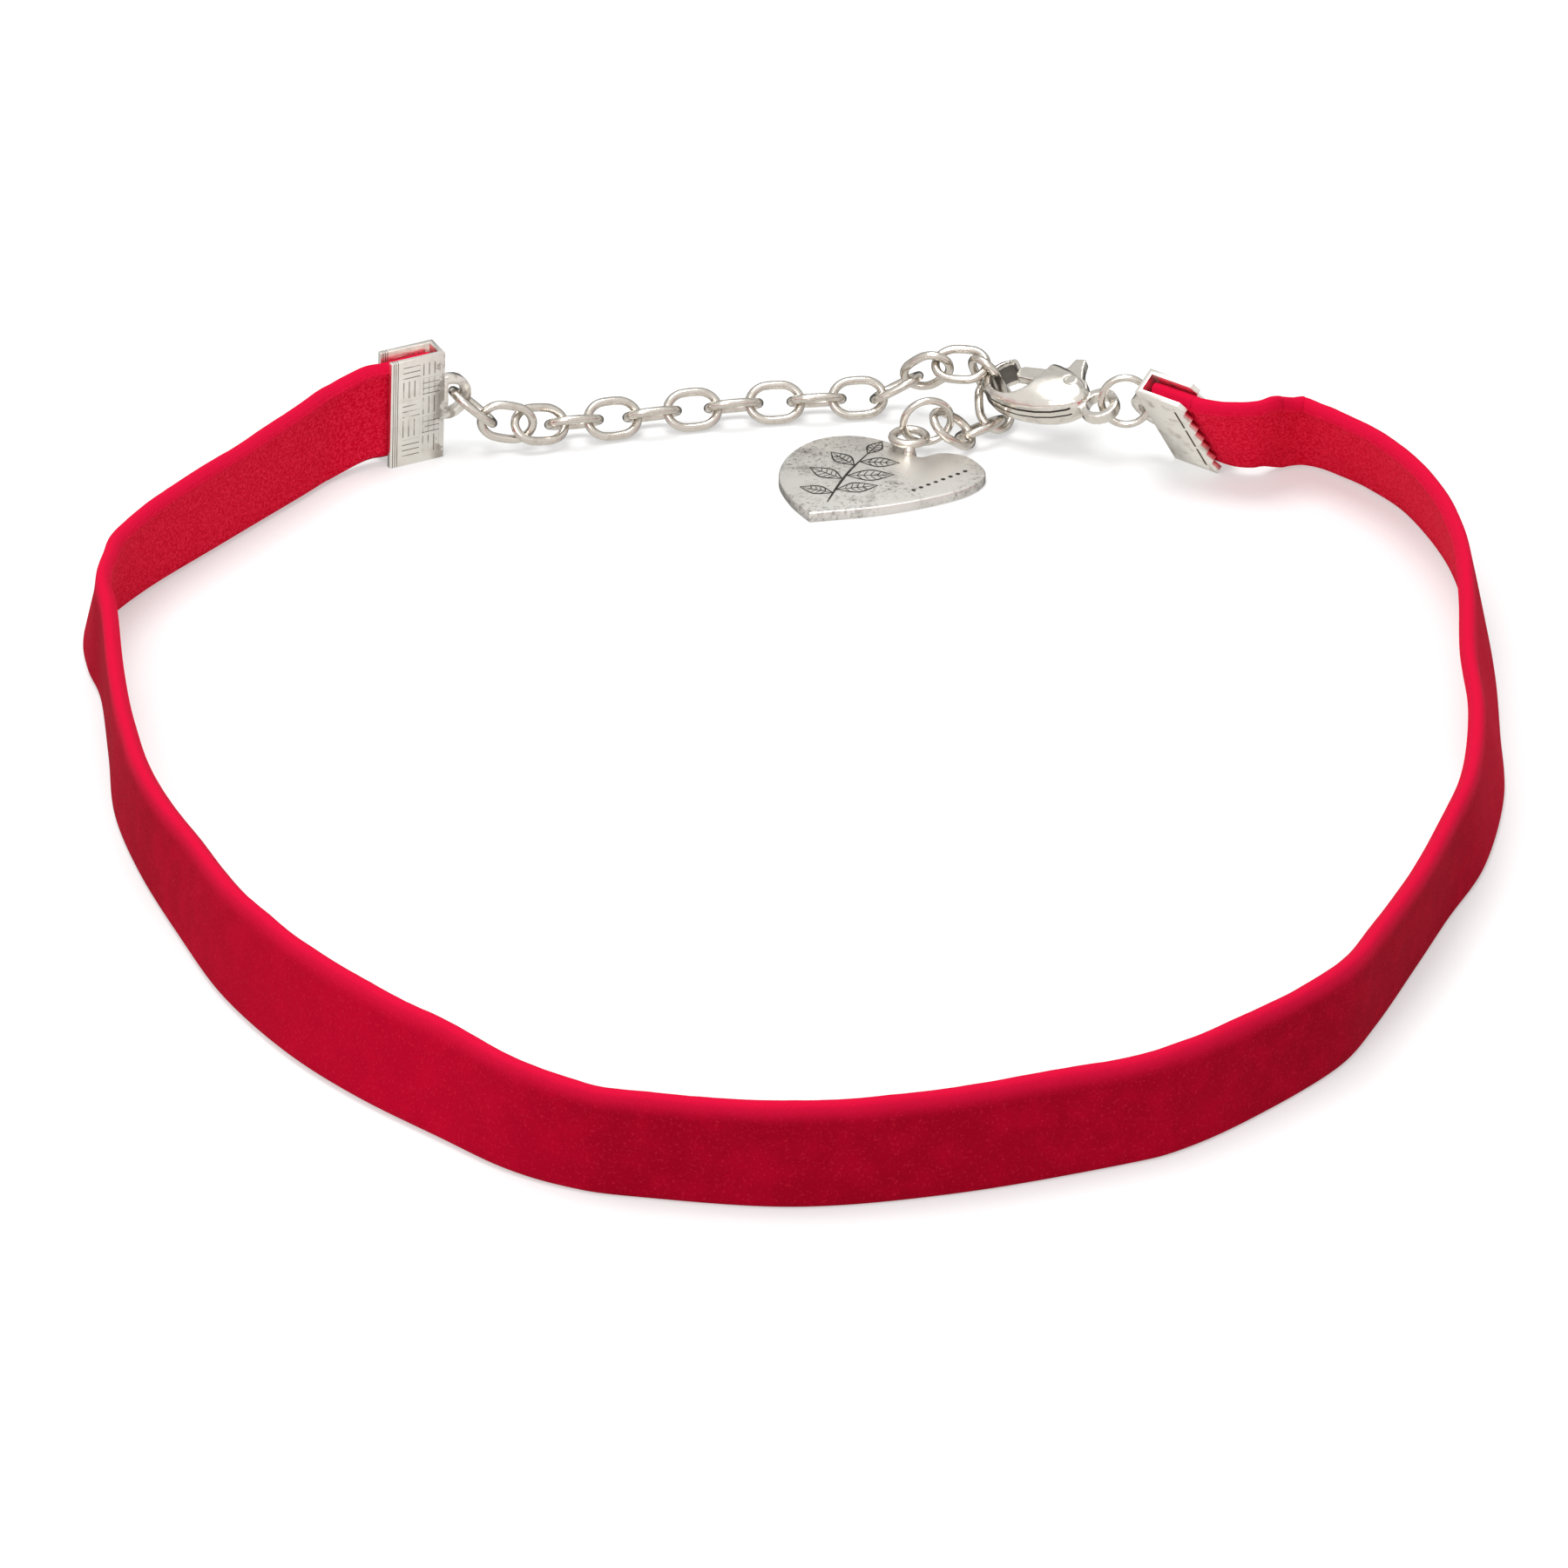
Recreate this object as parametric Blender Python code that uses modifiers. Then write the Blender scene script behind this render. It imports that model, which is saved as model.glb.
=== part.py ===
"""A velvet ribbon choker lying on a table, standing on the ribbon's edge and closed at the back.

The ribbon's open ends are held in two folded metal clamps. An extension chain runs from the left
clamp; a lobster clasp on a jump ring at the right clamp hooks its fifteenth link, and three more
links hang from that one as a tail, with a heart charm at its end.

Metres, +Z up, the table at z = 0, the front of the choker towards -Y.
"""

import math

import bmesh
import bpy
from mathutils import Matrix, Vector

MM = 0.001

# Ribbon
LOOP_WIDTH = 115.0 * MM
LOOP_DEPTH = 127.0 * MM
RIBBON_WIDTH = 9.0 * MM
RIBBON_THICKNESS = 1.3 * MM
RIBBON_EDGE_ROUND = 0.45 * MM
RIBBON_STEPS = 5

# Clamps
CLAMP_HEIGHT = 10.0 * MM
CLAMP_LENGTH = 5.0 * MM
CLAMP_SHEET = 0.45 * MM
CLAMP_GRIP_GAP = 0.15 * MM
CLAMP_TEETH = 7
CLAMP_TOOTH_DEPTH = 0.5 * MM
CLAMP_GRIP = 4.2 * MM
BEND_RADIUS = 1.8 * MM
CLAMP_FLOOR_GAP = 0.02 * MM
TAB_RADIUS = 2.05 * MM
TAB_HOLE_RADIUS = 1.25 * MM
TAB_THICKNESS = 0.7 * MM
TAB_REACH = 0.95 * MM

# Chain
LINK_LENGTH = 5.05 * MM
LINK_WIDTH = 3.65 * MM
WIRE = 0.65 * MM
LINK_ARC_POINTS = 7
RING_DIAMETER = 4.75 * MM
RING_STEPS = 16

# Heart
HEART_SPAN = 17.3 * MM
HEART_THICKNESS = 0.9 * MM
HEART_EDGE_ROUND = 0.15 * MM
HEART_STEPS = 3
EYELET_DIAMETER = 3.4 * MM
EYELET_WIRE = 0.6 * MM
EYELET_HEIGHT = 1.65 * MM
EYELET_POST_DIAMETER = 1.0 * MM

# Clasp
CLASP_REACH = 9.8 * MM
CLASP_HALF_WIDTH = 2.9 * MM
CLASP_THICKNESS = 2.2 * MM
CLASP_ROUND = 0.6 * MM
CLASP_EYE_RADIUS = 1.75 * MM
CLASP_EYE_HOLE_RADIUS = 1.05 * MM
CLASP_EYE_THICKNESS = 1.0 * MM
HOOK_WIDTH = 1.0 * MM
LEVER_THICKNESS = 0.9 * MM
LEVER_SIDE_GAP = 0.2 * MM
LEVER_TIP_GAP = 0.25 * MM
PIVOT_ALONG = 3.0 * MM
PIVOT_ACROSS = 1.1 * MM
PIVOT_BOSS_RADIUS = 1.15 * MM
CLASP_WEB = 1.9 * MM
RIVET_RADIUS = 0.42 * MM
RIVET_CLEARANCE = 0.1 * MM
RIVET_HEAD_RADIUS = 0.7 * MM
RIVET_HEAD_HEIGHT = 0.22 * MM

# The ribbon's foot line, in three stretches, with the lean of the top edge to the inside in degrees.
# From the left clamp to the left side and from the right side to the bend at the right clamp: across
# as a share of the way from where the ribbon leaves the clamp or the bend to the side, along as a
# share of half LOOP_DEPTH. Round the front: shares of half LOOP_WIDTH and half LOOP_DEPTH.
LEFT_BACK_SECTIONS = (
    # across, along, lean
    (0.137, 0.923, 4),
    (0.265, 0.862, 6),
    (0.562, 0.720, 10),
    (0.808, 0.600, 12),
    (0.955, 0.505, 14),
)
FRONT_SECTIONS = (
    # across, along, lean
    (-0.993, 0.435, 13),
    (-0.981, 0.360, 6),
    (-0.958, 0.280, 2),
    (-0.938, 0.120, 1),
    (-0.922, -0.030, 4),
    (-0.880, -0.180, 2),
    (-0.818, -0.345, 6),
    (-0.753, -0.495, 9),
    (-0.663, -0.635, 12),
    (-0.567, -0.742, 13),
    (-0.455, -0.840, 12),
    (-0.370, -0.910, 8),
    (-0.290, -0.952, 4),
    (-0.200, -0.975, 0),
    (0.014, -1.000, 0),
    (0.226, -0.968, 0),
    (0.445, -0.900, 1),
    (0.530, -0.860, 2),
    (0.624, -0.783, 1),
    (0.734, -0.668, -2),
    (0.788, -0.568, -3),
    (0.852, -0.415, -4),
    (0.901, -0.295, -1),
    (0.958, -0.165, 6),
    (0.995, 0.010, 13),
    (1.000, 0.175, 16),
    (1.002, 0.335, 14),
    (0.995, 0.495, 12),
)
RIGHT_BACK_SECTIONS = (
    # across, along, lean
    (0.914, 0.660, 17),
    (0.753, 0.805, 24),
    (0.575, 0.887, 27),
    (0.425, 0.932, 28),
    (0.316, 0.957, 28),
    (0.201, 0.968, 28),
    (0.092, 0.960, 27),
)

# Mouth of each clamp at the ribbon's foot, in mm, the direction in which it points to the chain and
# the lean of its top towards the inside in degrees, the side on which the inside lies, how far the
# ribbon runs straight outside it, in mm, and whether its mouth shows its teeth or is folded straight.
# Here and below, x is from the loop's middle and y from BACK_LINE behind the loop's middle.
BACK_LINE = -63.5 * MM
# The ribbon's bend to the outside as it leaves the right clamp, and its lean after it, in degrees.
BEND_TURN = 68
BEND_LEAN = 27
BEND_STEPS = 3
CLAMPS = {
    # name: (x, y, heading, lean, inner side, straight, toothed)
    "ribbon_clamp_left": (-33.6, 61.4, 28, 4, -1, 1.9, 0),
    "ribbon_clamp_right": (37.3, 59.9, 140, 34, 1, 0.4, 1),
}

# Where each link meets the one before it, in mm from the loop's middle, and the link's roll about
# its own length in degrees. The last row is where the tail's last link meets the heart's ring.
CHAIN_JOINTS = (
    # x, y, z, roll
    (-27.4, 64.3, 5.0, -23),
    (-24.8, 63.6, 3.0, -93),
    (-21.7, 64.0, 2.3, 46),
    (-19.3, 64.8, 2.0, -35),
    (-16.0, 65.8, 1.8, 55),
    (-12.8, 66.8, 1.7, -35),
    (-9.4, 67.7, 1.7, 55),
    (-6.0, 68.5, 1.7, -35),
    (-2.5, 69.2, 1.7, 55),
    (1.0, 69.7, 1.7, -35),
    (4.5, 70.1, 1.7, 55),
    (8.0, 70.6, 1.7, -17),
    (11.0, 70.6, 3.4, 118),
    (13.1, 69.5, 5.4, 33),
    (16.7, 68.5, 5.6, -9),
    (17.7, 69.2, 3.0, -25),
    (17.8, 66.9, 1.2, -29),
    (15.3, 64.5, 1.1, 30),
    (13.0, 63.2, 2.9, 0),
)

# Centre of each jump ring in mm from the loop's middle, and the direction of its axis.
HEART_RING_CENTRE = (12.0, 63.6, 2.8)
HEART_RING_AXIS = (-0.22, 0.97, 0.11)
CLASP_RING_CENTRE = (28.6, 62.2, 5.4)
CLASP_RING_AXIS = (-0.08, -0.98, 0.14)

# The heart's eyelet, in mm, and its soldered foot and the heart's outline as shares of HEART_SPAN
# from the heart's middle. The outline runs from the point round the left lobe.
EYELET_PLACE = (10.5, 63.0)
EYELET_FOOT = (0.133, 0.210)
HEART_OUTLINE = (
    # across, along
    (-0.353, -0.445),
    (-0.445, -0.270),
    (-0.500, -0.050),
    (-0.455, 0.180),
    (-0.325, 0.350),
    (-0.150, 0.400),
    (0.010, 0.345),
    (0.120, 0.240),
    (0.185, 0.165),
    (0.290, 0.210),
    (0.420, 0.165),
    (0.500, 0.000),
    (0.440, -0.140),
    (0.280, -0.255),
    (0.000, -0.370),
)

# Clasp: the middle of its eye and the wire that its hook holds, in mm from the loop's middle, and
# the side its gate faces.
CLASP_EYE_PLACE = (26.4, 62.3, 4.8)
CLASP_HOOKED_PLACE = (17.2, 68.6, 4.0)
CLASP_GATE_SIDE = (0.485, 0.762, 0.423)

SILVER = ((0.78, 0.75, 0.72, 1.0), 0.28, 1.0)
VELVET = ((0.42, 0.005, 0.02, 1.0), 0.85, 0.0)


def start_scene():
    for old in list(bpy.data.objects):
        bpy.data.objects.remove(old, do_unlink=True)
    made = {}
    for name in ("choker", "cutters"):
        made[name] = bpy.data.collections.new(name)
        bpy.context.scene.collection.children.link(made[name])
    return made["choker"], made["cutters"]


def finish_material(name, look):
    colour, roughness, metallic = look
    made = bpy.data.materials.new(name)
    made.use_nodes = True
    shader = made.node_tree.nodes["Principled BSDF"]
    shader.inputs["Base Color"].default_value = colour
    shader.inputs["Roughness"].default_value = roughness
    shader.inputs["Metallic"].default_value = metallic
    return made


def from_loop_middle(x, y, z=0.0):
    """A place among the findings, which keep together at the loop's back whatever its depth."""
    return Vector((x, y, z)) * MM + Vector((0, LOOP_DEPTH / 2 + BACK_LINE, 0))


def frame(origin, x_axis, z_axis):
    """A matrix at origin whose X is x_axis and whose Z is z_axis made square to it."""
    x = Vector(x_axis).normalized()
    z = Vector(z_axis)
    z = (z - x * z.dot(x)).normalized()
    y = z.cross(x)
    turned = Matrix((x, y, z)).transposed().to_4x4()
    return Matrix.Translation(origin) @ turned


def smooth_through(rows, steps, closed=False):
    """Points of a smooth line through rows of numbers, steps of them to each stretch."""
    rows = [Vector(row) for row in rows]
    if closed:
        before, after, ahead = rows[-1:], rows[:1], rows[1:2]
    else:
        before = [rows[0] * 2 - rows[1]]
        after = [rows[-1] * 2 - rows[-2]]
        ahead = []
    line = before + rows + after + ahead
    made = []
    for a, b, c, d in zip(line, line[1:], line[2:], line[3:]):
        for step in range(steps):
            t = step / steps
            made.append(
                (b * 2 + (c - a) * t + (a * 2 - b * 5 + c * 4 - d) * t**2
                 + (b * 3 - a - c * 3 + d) * t**3) / 2
            )
    if not closed:
        made.append(rows[-1])
    return made


def arc(centre, radius, start, end, count):
    """Points on an arc, angles in degrees."""
    turns = [start + (end - start) * i / (count - 1) for i in range(count)]
    return [
        (centre[0] + radius * math.cos(math.radians(t)), centre[1] + radius * math.sin(math.radians(t)))
        for t in turns
    ]


def curve_object(name, lines, closed, dimensions="3D"):
    data = bpy.data.curves.new(name, "CURVE")
    data.dimensions = dimensions
    for line in lines:
        spline = data.splines.new("POLY")
        spline.points.add(len(line) - 1)
        for point, place in zip(spline.points, line):
            point.co = (*place, 0.0, 1.0) if len(place) == 2 else (*place, 1.0)
        spline.use_cyclic_u = closed
    return bpy.data.objects.new(name, data)


def made_mesh(obj, collection, place=None):
    """A mesh object in place of a curve, with its loose caps joined."""
    bpy.context.scene.collection.objects.link(obj)
    bpy.context.view_layer.update()
    graph = bpy.context.evaluated_depsgraph_get()
    name = obj.name
    mesh = bpy.data.meshes.new_from_object(obj.evaluated_get(graph))
    bpy.data.objects.remove(obj, do_unlink=True)
    work = bmesh.new()
    work.from_mesh(mesh)
    bmesh.ops.remove_doubles(work, verts=work.verts, dist=0.001 * MM)
    bmesh.ops.dissolve_limit(
        work, angle_limit=math.radians(0.5), verts=work.verts, edges=work.edges
    )
    bmesh.ops.recalc_face_normals(work, faces=work.faces)
    work.to_mesh(mesh)
    work.free()
    made = bpy.data.objects.new(name, mesh)
    if place is not None:
        made.matrix_world = place
    collection.objects.link(made)
    return made


def plate(name, outlines, thickness, collection, place=None, bottom=None):
    """A flat plate with the given outlines, centred on its frame's XY plane or standing on bottom."""
    obj = curve_object(name, outlines, closed=True, dimensions="2D")
    obj.data.fill_mode = "BOTH"
    obj.data.extrude = thickness / 2
    made = made_mesh(obj, collection, place)
    if bottom is not None:
        made.data.transform(Matrix.Translation((0, 0, bottom + thickness / 2)))
    return made


def wire(name, line, diameter, collection, place=None):
    """A closed wire of six sides along a line."""
    obj = curve_object(name, [line], closed=True)
    obj.data.bevel_depth = diameter / 2
    obj.data.bevel_resolution = 1
    obj.data.use_fill_caps = True
    made = made_mesh(obj, collection, place)
    made.data.shade_smooth()
    return made


def round_post(name, radius, height, collection, place, sides=16):
    mesh = bpy.data.meshes.new(name)
    work = bmesh.new()
    bmesh.ops.create_cone(
        work, cap_ends=True, segments=sides, radius1=radius, radius2=radius, depth=height
    )
    work.to_mesh(mesh)
    work.free()
    made = bpy.data.objects.new(name, mesh)
    made.matrix_world = place
    collection.objects.link(made)
    return made


def combine(obj, helper, operation):
    """Adds a Boolean and keeps its helper out of the render."""
    helper.hide_render = True
    helper.display_type = "WIRE"
    step = obj.modifiers.new(helper.name, "BOOLEAN")
    step.object = helper
    step.operation = operation
    step.solver = "EXACT"
    return obj


def soften(obj, width, segments=2, angle=40):
    step = obj.modifiers.new("soft edges", "BEVEL")
    step.width = width
    step.segments = segments
    step.limit_method = "ANGLE"
    step.angle_limit = math.radians(angle)
    return obj


def held_rows(name):
    """The ribbon in a clamp, from its end to where it bends outside: foot, lean, height off the floor."""
    place = clamp_frame(name)
    ahead, _, width = (Vector(place.col[i][:3]) for i in range(3))
    lean = math.radians(CLAMPS[name][3])
    shift = (RIBBON_WIDTH * math.sin(lean) + RIBBON_THICKNESS * math.cos(lean)) / 2
    height = (RIBBON_WIDTH * math.cos(lean) + RIBBON_THICKNESS * math.sin(lean)) / 2
    middle = place.translation + width * (CLAMP_HEIGHT / 2)
    foot = middle - clamp_inside(name) * shift
    rows = []
    for back in (-CLAMP_GRIP, -CLAMP_GRIP / 3, 0.0, CLAMPS[name][5] * MM):
        spot = foot - ahead * back
        rows.append((spot.x, spot.y, lean, middle.z - height))
    return rows


def bend_rows(name, start):
    """The ribbon's bend to the outside of the loop, after it has left a clamp at start."""
    x, y, lean, lift = start
    away = -Vector(clamp_frame(name).col[0][:3])
    outside = -clamp_inside(name)
    rows = []
    for step in range(1, BEND_STEPS + 1):
        share = step / BEND_STEPS
        turn = math.radians(BEND_TURN) * share
        spot = away * math.sin(turn) + outside * (1 - math.cos(turn))
        leaned = lean + (math.radians(BEND_LEAN) - lean) * share
        rows.append((x + spot.x * BEND_RADIUS, y + spot.y * BEND_RADIUS, leaned, lift))
    return rows


def ribbon_rows():
    """The whole ribbon, from the left clamp round the front to the right one."""
    half_width, half_depth = LOOP_WIDTH / 2, LOOP_DEPTH / 2
    left = held_rows("ribbon_clamp_left")
    right = held_rows("ribbon_clamp_right")
    right += bend_rows("ribbon_clamp_right", right[-1])
    rows = list(left)
    for table, start, side in ((LEFT_BACK_SECTIONS, left[-1][0], -half_width),
                               (FRONT_SECTIONS, 0.0, half_width),
                               (RIGHT_BACK_SECTIONS, right[-1][0], half_width)):
        for across, along, lean in table:
            rows.append((start + across * (side - start), along * half_depth, math.radians(lean), 0.0))
    return rows + right[::-1]


def ribbon_path():
    """Middle of the ribbon's section and its lean in radians, along its length."""
    foot = smooth_through(ribbon_rows(), RIBBON_STEPS)
    path = []
    for index, (x, y, lean, lift) in enumerate(foot):
        before = foot[max(index - 1, 0)]
        after = foot[min(index + 1, len(foot) - 1)]
        ahead = Vector((after.x - before.x, after.y - before.y)).normalized()
        inside = Vector((-ahead.y, ahead.x))
        shift = (RIBBON_WIDTH * math.sin(lean) + RIBBON_THICKNESS * math.cos(lean)) / 2
        height = (RIBBON_WIDTH * math.cos(lean) + RIBBON_THICKNESS * abs(math.sin(lean))) / 2
        path.append(((x + inside.x * shift, y + inside.y * shift, height + max(lift, 0.0)), lean))
    return path


def ribbon_section(name, collection):
    """The ribbon's rounded cross-section, a helper for its sweep."""
    radius = RIBBON_EDGE_ROUND
    x, y = RIBBON_THICKNESS / 2 - radius, RIBBON_WIDTH / 2 - radius
    outline = []
    for centre, start in (((x, y), 0), ((-x, y), 90), ((-x, -y), 180), ((x, -y), 270)):
        outline += arc(centre, radius, start, start + 90, 3)
    section = curve_object(name, [outline], closed=True, dimensions="2D")
    section.hide_render = True
    section.display_type = "WIRE"
    collection.objects.link(section)
    return section


def make_ribbon(parts, cutters):
    path = ribbon_path()
    obj = curve_object("ribbon", [[place for place, _ in path]], closed=False)
    obj.data.twist_mode = "Z_UP"
    obj.data.bevel_mode = "OBJECT"
    obj.data.bevel_object = ribbon_section("ribbon_section", cutters)
    obj.data.use_fill_caps = True
    for point, (_, lean) in zip(obj.data.splines[0].points, path):
        point.tilt = -lean
    made = made_mesh(obj, parts)
    made.data.shade_smooth()
    return made


def clamp_inside(name):
    """The level direction from a clamp to the inside of the loop."""
    heading, side = CLAMPS[name][2], CLAMPS[name][4]
    return Vector((-math.sin(math.radians(heading)), math.cos(math.radians(heading)), 0)) * side


def clamp_frame(name):
    """A frame at the clamp's mouth: X to the chain, Y to the inside of the loop, Z up the ribbon."""
    x, y, heading, lean = CLAMPS[name][:4]
    ahead = Vector((math.cos(math.radians(heading)), math.sin(math.radians(heading)), 0))
    inside = clamp_inside(name)
    up = Vector((0, 0, 1))
    width = up * math.cos(math.radians(lean)) + inside * math.sin(math.radians(lean))
    facing = inside * math.cos(math.radians(lean)) - up * math.sin(math.radians(lean))
    thickness = RIBBON_THICKNESS + 2 * (CLAMP_GRIP_GAP + CLAMP_SHEET)
    lift = thickness / 2 * math.sin(math.radians(lean)) + CLAMP_FLOOR_GAP
    origin = from_loop_middle(x, y) + up * lift
    return Matrix.Translation(origin) @ Matrix((ahead, facing, width)).transposed().to_4x4()


def make_clamp(name, parts, cutters):
    place = clamp_frame(name)
    slot = RIBBON_THICKNESS + 2 * CLAMP_GRIP_GAP
    thickness = slot + 2 * CLAMP_SHEET
    pitch = CLAMP_HEIGHT / CLAMP_TEETH
    mouth = [(0.0, 0.0), (0.0, CLAMP_HEIGHT)]
    if CLAMPS[name][6]:
        mouth = [(CLAMP_TOOTH_DEPTH, 0.0)]
        for tooth in range(CLAMP_TEETH):
            mouth.append((0.0, (tooth + 0.5) * pitch))
            mouth.append((CLAMP_TOOTH_DEPTH, (tooth + 1) * pitch))
    outline = mouth + [(CLAMP_LENGTH, CLAMP_HEIGHT), (CLAMP_LENGTH, 0.0)]
    # The outline's Y runs up the ribbon, so the plate is turned upright.
    upright = place @ Matrix.Rotation(math.radians(90), 4, "X")
    clamp = plate(name, [outline], thickness, parts, upright)

    past = 1.0 * MM
    opening = [
        (-past, -past),
        (CLAMP_LENGTH - CLAMP_SHEET, -past),
        (CLAMP_LENGTH - CLAMP_SHEET, CLAMP_HEIGHT + past),
        (-past, CLAMP_HEIGHT + past),
    ]
    combine(clamp, plate(name + "_slot", [opening], slot, cutters, upright), "DIFFERENCE")

    hinge = Matrix.Translation((CLAMP_LENGTH - CLAMP_SHEET / 2, CLAMP_HEIGHT / 2, 0))
    folded = upright @ hinge
    centre = (TAB_REACH + CLAMP_SHEET / 2, 0.0)
    ring = arc(centre, TAB_RADIUS, -122, 122, 15)
    hole = arc((centre[0] + 0.05 * MM, 0.0), TAB_HOLE_RADIUS, -98, 98, 11)
    tab = plate(name + "_tab", [ring, hole], TAB_THICKNESS, cutters, folded)
    return combine(clamp, tab, "UNION")


def link_line():
    """Middle line of a link: two half rounds joined by straight sides."""
    radius = (LINK_WIDTH - WIRE) / 2
    straight = (LINK_LENGTH - LINK_WIDTH) / 2
    right = arc((straight, 0.0), radius, -90, 90, LINK_ARC_POINTS)
    left = arc((-straight, 0.0), radius, 90, 270, LINK_ARC_POINTS)
    return right + left


def link_frame(start, end, roll):
    """A frame at the middle of a link that runs from start to end, turned about its length."""
    start, end = from_loop_middle(*start), from_loop_middle(*end)
    ahead = (end - start).normalized()
    up = Vector((0, 0, 1))
    up = (up - ahead * up.dot(ahead)).normalized()
    side = ahead.cross(up)
    if side.y > 0:
        side = -side
    turn = math.radians(roll)
    return frame((start + end) / 2, ahead, up * math.cos(turn) + side * math.sin(turn))


def make_chain(parts):
    line = link_line()
    links = []
    for number, (row, after) in enumerate(zip(CHAIN_JOINTS, CHAIN_JOINTS[1:]), start=1):
        place = link_frame(row[:3], after[:3], row[3])
        links.append(wire(f"chain_link_{number:02d}", line, WIRE, parts, place))
    return links


def ring_line(diameter, thickness, count):
    radius = (diameter - thickness) / 2
    return arc((0.0, 0.0), radius, 0, 360 * (count - 1) / count, count)


def make_ring(name, centre, axis, parts):
    """A jump ring whose axis points along axis."""
    level = Vector(axis).cross(Vector((0, 0, 1)))
    place = frame(from_loop_middle(*centre), level, axis)
    return wire(name, ring_line(RING_DIAMETER, WIRE, RING_STEPS), WIRE, parts, place)


def make_heart(parts, cutters):
    rows = [(a * HEART_SPAN, b * HEART_SPAN) for a, b in HEART_OUTLINE]
    # The point is repeated, which keeps it sharp in a smooth line.
    outline = smooth_through([rows[0]] + rows + [rows[0]], HEART_STEPS)
    outline = [tuple(p) for p in outline[HEART_STEPS:-1]]
    radius = (EYELET_DIAMETER - EYELET_WIRE) / 2
    foot = Vector((EYELET_FOOT[0] * HEART_SPAN, EYELET_FOOT[1] * HEART_SPAN + radius, 0))
    middle = Matrix.Translation(from_loop_middle(*EYELET_PLACE) - foot)
    heart = plate("heart_charm", [outline], HEART_THICKNESS, parts, middle, bottom=0.0)
    soften(heart, HEART_EDGE_ROUND, segments=1)

    eyelet_place = Matrix.Translation(from_loop_middle(*EYELET_PLACE) + Vector((0, 0, EYELET_HEIGHT)))
    line = ring_line(EYELET_DIAMETER, EYELET_WIRE, RING_STEPS)
    eyelet = wire("heart_eyelet", line, EYELET_WIRE, cutters, eyelet_place)
    bottom = HEART_THICKNESS / 2
    post_place = eyelet_place @ Matrix.Translation((0, -radius, (bottom - EYELET_HEIGHT) / 2))
    post = round_post(
        "heart_eyelet_post", EYELET_POST_DIAMETER / 2, EYELET_HEIGHT - bottom, cutters, post_place
    )
    combine(heart, post, "UNION")
    return combine(heart, eyelet, "UNION")


def clasp_frame():
    """A frame at the clasp's eye: X to its nose, Y to its gate."""
    eye = from_loop_middle(*CLASP_EYE_PLACE)
    ahead = from_loop_middle(*CLASP_HOOKED_PLACE) - eye
    return frame(eye, ahead, ahead.cross(Vector(CLASP_GATE_SIDE)))


def clasp_sizes():
    """Places along the clasp from its eye, worked out from the hooked wire and the hook's width."""
    hole_end = CLASP_REACH + WIRE / 2 + LEVER_TIP_GAP
    nose = hole_end + HOOK_WIDTH
    lever_tip = CLASP_REACH - WIRE / 2 - 2 * LEVER_TIP_GAP
    return hole_end, nose, lever_tip


def egg(start, end, half_width, fullness=0.55, count=10):
    """A closed egg outline from start to end along X, widest past its middle."""
    outline = []
    for i in range(2 * count):
        turn = math.pi * i / count
        across = half_width * math.sin(turn)
        share = (1 + math.cos(turn)) / 2
        outline.append((start + (end - start) * share ** (2 * (1 - fullness)), across))
    return outline


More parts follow.
